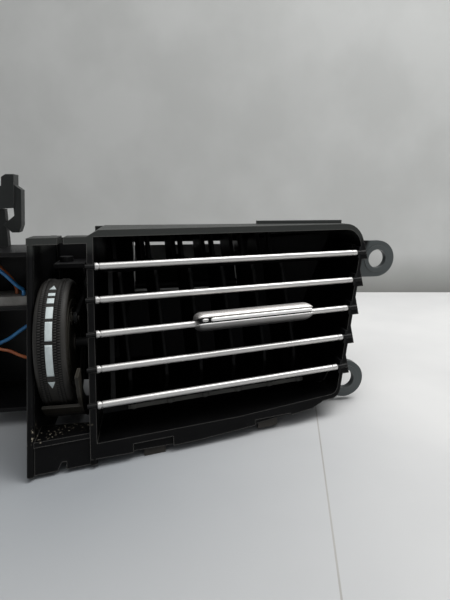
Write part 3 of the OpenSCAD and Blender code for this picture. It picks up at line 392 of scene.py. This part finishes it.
def addBar(k):
    # a circle carried along the bar, its radius stepping down between collar and bar with eased edges
    w, u0, u1 = barEnds(k)
    r, c, n = bar["radius"], bar["collar"], bar["neck"]
    steps = np.array([[0.0, 0.9], [0.0, c - 0.15], [0.12, c - 0.03], [0.25, c], [1.05, c], [1.2, c - 0.04],
                      [1.3, c - 0.15], [1.34, n + 0.05], [1.45, n], [1.7, n], [1.78, n + 0.05], [1.8, r - 0.1],
                      [1.92, r - 0.02], [2.1, r]])
    ends = np.array([[u1 - u0 - 3.0, r], [u1 - u0 - 2.75, r - 0.02], [u1 - u0 - 2.7, r - 0.12],
                     [u1 - u0 - 2.3, r - 0.12], [u1 - u0 - 2.25, r - 0.02], [u1 - u0 - 2.0, r],
                     [u1 - u0 - 0.25, r], [u1 - u0 - 0.1, r - 0.05], [u1 - u0, r - 0.18], [u1 - u0, 0.9]])
    middle = np.linspace(2.4, u1 - u0 - 3.4, 24)
    line = np.vstack([steps, np.stack([middle, np.full(24, r)], axis=1), ends])
    angle = np.arange(bar["sides"]) * 2 * math.pi / bar["sides"]
    radius = line[:, 1][:, None]
    points = onFace(u0 + line[:, 0][:, None] + 0 * angle, -radius * np.cos(angle), w - radius * np.sin(angle))
    piece = gridMesh("bar_%d" % k, place(points), closeV=True, capU=True)
    dress(piece, finishes["barSilver"])
    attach(piece, "vane_%d" % k)
    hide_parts("vane_trim_%d" % k)


# ---- sliding tab on the middle bar
tab = dict(left=41.0, right=96.0, upRadius=3.0, downRadius=3.8, top=4.8, bottom=-3.6, steps=44,
           stripLeft=46.4, knob=(42.7, 45.2))


def alongTab(name, profile, u0, u1, root, radius, finish, slot, easeDepth=0.9):
    # a closed profile carried along the bar; near each end its height over root shrinks as a quarter circle
    # does, and it draws back a little, so the ends are round
    spread = 0.5 - 0.5 * np.cos(np.linspace(0, math.pi, tab["steps"]))
    u = u0 + (u1 - u0) * spread
    inward = np.clip(np.minimum(u - u0, u1 - u) / radius, 0, 1)
    height = 0.34 + 0.66 * np.sqrt(1 - (1 - inward) ** 2)
    n = profile[None, :, 0] + (easeDepth * (1 - height) * np.clip(-profile[:, 0] / 5, 0, 1)[None, :].T).T
    w = root + (profile[None, :, 1] - root) * height[:, None]
    points = onFace(np.broadcast_to(u[:, None], w.shape), np.broadcast_to(n, w.shape), w)
    piece = gridMesh(name, place(points), closeV=True, capU=True)
    dress(piece, finishes[finish])
    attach(piece, "tab")
    return piece


def addTab():
    upper = np.array([[-5.15, 1.72], [-5.4, 1.8], [-5.5, 2.0], [-5.38, 2.3], [-5.05, 2.75], [-4.5, 3.25],
                      [-3.7, 3.8], [-2.6, 4.3], [-1.2, 4.65], [0.2, 4.8], [1.4, 4.75], [2.2, 4.4], [2.5, 3.8],
                      [2.5, 2.4], [2.3, 1.72]])
    lower = np.array([[-5.0, -0.62], [-1.8, -0.62], [-1.6, -1.6], [1.5, -1.6], [1.7, -1.2], [2.3, -1.2],
                      [2.3, -2.3], [1.9, -3.1], [1.0, -3.5], [-0.4, -3.6], [-2.0, -3.4], [-3.5, -2.95],
                      [-4.6, -2.3], [-5.3, -1.6], [-5.6, -1.1], [-5.65, -0.8], [-5.5, -0.65]])
    core = np.array([[-4.9, 1.9], [-4.9, -0.8], [-1.75, -0.8], [-1.75, 1.9]])
    alongTab("tab_wing_upper", upper[::-1], tab["left"], tab["right"], 1.72, tab["upRadius"], "tabSilver", "tab_silver")
    alongTab("tab_wing_lower", lower[::-1], tab["left"], tab["right"], -0.62, tab["downRadius"], "tabShade",
             "tab_silver")
    alongTab("tab_core", core, tab["left"] + 0.9, tab["right"] - 1.2, 0.5, 0.1, "bladeBlack", "strip_dark", 0)
    edge = np.array([[-5.15, 0.0], [-5.6, -0.05], [-5.78, 0.15], [-5.8, 0.7], [-5.74, 1.25], [-5.5, 1.45],
                     [-5.15, 1.42], [-1.8, 1.42], [-1.8, 0.0]])
    alongTab("tab_bright_strip", edge[::-1], tab["stripLeft"], tab["right"] - 0.7, 0.7, 1.2, "stripBright",
             "bar_silver", 0.4)
    knobSide = np.array([[-4.2, 0.05], [-5.2, 0.05], [-5.45, 0.25], [-5.5, 0.7], [-5.45, 1.15], [-5.2, 1.4],
                         [-4.2, 1.4]])
    knob = alongTab("tab_knob", knobSide[::-1], *tab["knob"], 0.7, 0.8, "barSilver", "bar_silver", 0.2)
    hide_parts("tab_upper", "tab_lower", "tab_strip")


# ---- wires in the box beside the wheel
wires = (
    dict(name="wire_blue_smooth", node="wire_blue", skin="blueSkin", slot="wire_blue_skin", radius=0.8,
         route=[[-50, 31, 26], [-44, 30, 24], [-39, 29, 20], [-35, 30, 15], [-33, 32, 12.5], [-33, 32, 10]]),
    dict(name="wire_orange_smooth", node="wire_orange", skin="orangeSkin", slot="wire_orange_skin", radius=0.8,
         route=[[-48, 34, 27], [-45, 33, 26], [-42, 33, 23], [-38, 35, 17], [-37, 37, 12.5], [-37, 37, 10]]),
    dict(name="wire_blue_low", skin="blueSkin", slot="wire_blue_skin", radius=0.8,
         route=[[-54.6, 34, -14.6], [-50, 33, -13.6], [-45.2, 33, -11.6], [-40.8, 33, -9.5], [-35.8, 33, -6],
                [-30, 34, -2.4], [-23.8, 36, 0.5]]),
    dict(name="wire_orange_low", skin="orangeSkin", slot="wire_orange_skin", radius=0.7,
         route=[[-54.6, 36, -12], [-50, 34, -12.8], [-45.5, 33, -14.4], [-41.4, 33, -15.6], [-36.6, 33, -18.2],
                [-30, 34, -21], [-23.8, 36, -22]]))


def smoothRoute(route, perSpan=10):
    # each span is the cubic through its two points that leaves them in the direction of their neighbours
    p = np.array(route, float)
    p = np.vstack([2 * p[0] - p[1], p, 2 * p[-1] - p[-2]])
    t = np.linspace(0, 1, perSpan, endpoint=False)[None, :, None]
    a, b, c, d = p[:-3, None], p[1:-2, None], p[2:-1, None], p[3:, None]
    curve = 0.5 * (2 * b + (c - a) * t + (2 * a - 5 * b + 4 * c - d) * t ** 2 + (3 * b - a - 3 * c + d) * t ** 3)
    return np.vstack([curve.reshape(-1, 3), p[-2]])


def addWire(wire, sides=14):
    # a circle carried along the smoothed route, square to it
    path = smoothRoute(wire["route"])
    ahead = np.gradient(path, axis=0)
    ahead /= np.linalg.norm(ahead, axis=1)[:, None]
    across = np.cross(ahead, [0, 1, 0.3])
    across /= np.linalg.norm(across, axis=1)[:, None]
    other = np.cross(ahead, across)
    turn = np.arange(sides) * 2 * math.pi / sides
    points = path[:, None] + wire["radius"] * (np.cos(turn)[None, :, None] * across[:, None]
                                               + np.sin(turn)[None, :, None] * other[:, None])
    piece = gridMesh(wire["name"], place(points), closeV=True, capU=True)
    dress(piece, finishes[wire["skin"]])
    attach(piece, "housing")
    if "node" in wire:
        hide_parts(wire["node"])


addTread()
addMarks()
for k in range(1, 6):
    addBar(k)
print("tread and bars made")
addTab()
for wire in wires:
    addWire(wire)
print("tab and wires made")


# ---- floor, wall and light
room = dict(floorColour=(0.68, 0.677, 0.668), floorShade=(0.64, 0.638, 0.632), wallColour=(0.56, 0.566, 0.553),
            wallShade=(0.51, 0.516, 0.503), wallPoint=(0.128, 0.2225), wallTurn=9.8, size=3.0, footHeight=0.042,
            seam=((-0.0389, -0.0232), (-0.0825, -0.1615)), seamHalf=0.0003,
            # painted shadow on the floor in front of the object
            paintedShadow=dict(middle=(-0.150, -0.060, -0.068), inner=0.015, outer=0.160, most=0.85,
                       colour=(0.26, 0.28, 0.30)))


def roomSurface(name, colour, shade, foot=None, paintedShadow=None):
    # a paint with faint clouds, painted shade as a soft grey band along the wall's foot,
    # and a painted bluish shadow on the floor
    material = bpy.data.materials.new(name)
    material.use_nodes = True
    tree = material.node_tree
    shader = tree.nodes["Principled BSDF"]
    clouds = noiseOn(tree, 14, 5.0)
    painted = blendColour(tree, ramp(tree, clouds, 0.38, 0.62), colour, shade)
    # painted shadow: a soft bluish darkening of the floor around a point in front of the object, fading with distance
    if paintedShadow is not None:
        coord = addNode(tree, "ShaderNodeTexCoord")
        away = addNode(tree, "ShaderNodeVectorMath", operation="DISTANCE")
        tree.links.new(coord.outputs["Object"], away.inputs[0])
        away.inputs[1].default_value = paintedShadow["middle"]
        amount = ramp(tree, away.outputs["Value"], paintedShadow["inner"], paintedShadow["outer"], paintedShadow["most"], 0.0)
        painted = blendColour(tree, amount, painted, paintedShadow["colour"])
    if foot is not None:
        # painted shade: the wall darkens towards its foot, fading out within footHeight
        low = ramp(tree, alongAxis(tree, (0, 0, 1)), foot, foot + room["footHeight"], 0.62, 0.0)
        painted = blendColour(tree, low, painted, (0.10, 0.10, 0.085))
    tree.links.new(painted, shader.inputs["Base Color"])
    shader.inputs["Roughness"].default_value = 0.85
    shader.inputs["Specular IOR Level"].default_value = 0.2
    clear = addNode(tree, "ShaderNodeBsdfTransparent")  # seen from behind, a sheet hides nothing
    side = addNode(tree, "ShaderNodeNewGeometry")
    pick = addNode(tree, "ShaderNodeMixShader")
    tree.links.new(side.outputs["Backfacing"], pick.inputs[0])
    tree.links.new(shader.outputs["BSDF"], pick.inputs[1])
    tree.links.new(clear.outputs["BSDF"], pick.inputs[2])
    tree.links.new(pick.outputs["Shader"], tree.nodes["Material Output"].inputs["Surface"])
    return material


def addSheet(name, corners, material):
    mesh = bpy.data.meshes.new(name)
    mesh.from_pydata(corners, [], [(0, 1, 2, 3)])
    sheet = bpy.data.objects.new(name, mesh)
    bpy.context.scene.collection.objects.link(sheet)
    dress(sheet, material)


def addRoom():
    floorZ = cadBounds[0][2]
    s = room["size"]
    turn = math.radians(room["wallTurn"])
    along = np.array([math.cos(turn), -math.sin(turn)])
    left, right = np.array(room["wallPoint"]) - along * s, np.array(room["wallPoint"]) + along * s
    addSheet("floor", [(-s, -s, floorZ), (s, -s, floorZ), (s, s, floorZ), (-s, s, floorZ)],
             roomSurface("floorPaint", room["floorColour"], room["floorShade"], paintedShadow=room["paintedShadow"]))
    addSheet("wall", [(*left, floorZ), (*right, floorZ), (*right, s), (*left, s)],
             roomSurface("wallPaint", room["wallColour"], room["wallShade"], foot=floorZ))
    start, end, half = np.array(room["seam"][0]), np.array(room["seam"][1]), room["seamHalf"]
    addSheet("floorSeam", [(*(start + (half, 0)), floorZ + 0.0001), (*(start - (half, 0)), floorZ + 0.0001),
                           (*(end - (half, 0)), floorZ + 0.0001), (*(end + (half, 0)), floorZ + 0.0001)],
             roomSurface("seamPaint", (0.42, 0.41, 0.39), (0.36, 0.35, 0.33)))


lamps = (dict(name="window", place=(0.22, 0.04, 0.56), aim=(-0.08, 0.0, -0.02), size=0.42, power=3.9),
         dict(name="ceiling", place=(-0.16, -0.36, 0.90), aim=(-0.08, 0.05, 0.0), size=0.8, power=2.6))


def addLamps():
    for lamp in lamps:
        data = bpy.data.lights.new(lamp["name"], "AREA")
        data.size = lamp["size"]
        data.energy = lamp["power"]
        light = bpy.data.objects.new(lamp["name"], data)
        light.location = lamp["place"]
        aim = np.array(lamp["aim"]) - np.array(lamp["place"])
        flat = math.hypot(aim[0], aim[1])
        light.rotation_euler = (math.atan2(flat, -aim[2]), 0, math.atan2(aim[0], -aim[1]) + math.pi)
        bpy.context.scene.collection.objects.link(light)


def setWorld():
    world = bpy.data.worlds.new("room")
    bpy.context.scene.world = world
    world.use_nodes = True
    back = world.node_tree.nodes["Background"]
    back.inputs["Color"].default_value = (0.95, 0.97, 1.0, 1)
    back.inputs["Strength"].default_value = 0.32


addRoom()
addLamps()
setWorld()
bpy.context.scene.view_settings.view_transform = "Standard"
print("room and light set")
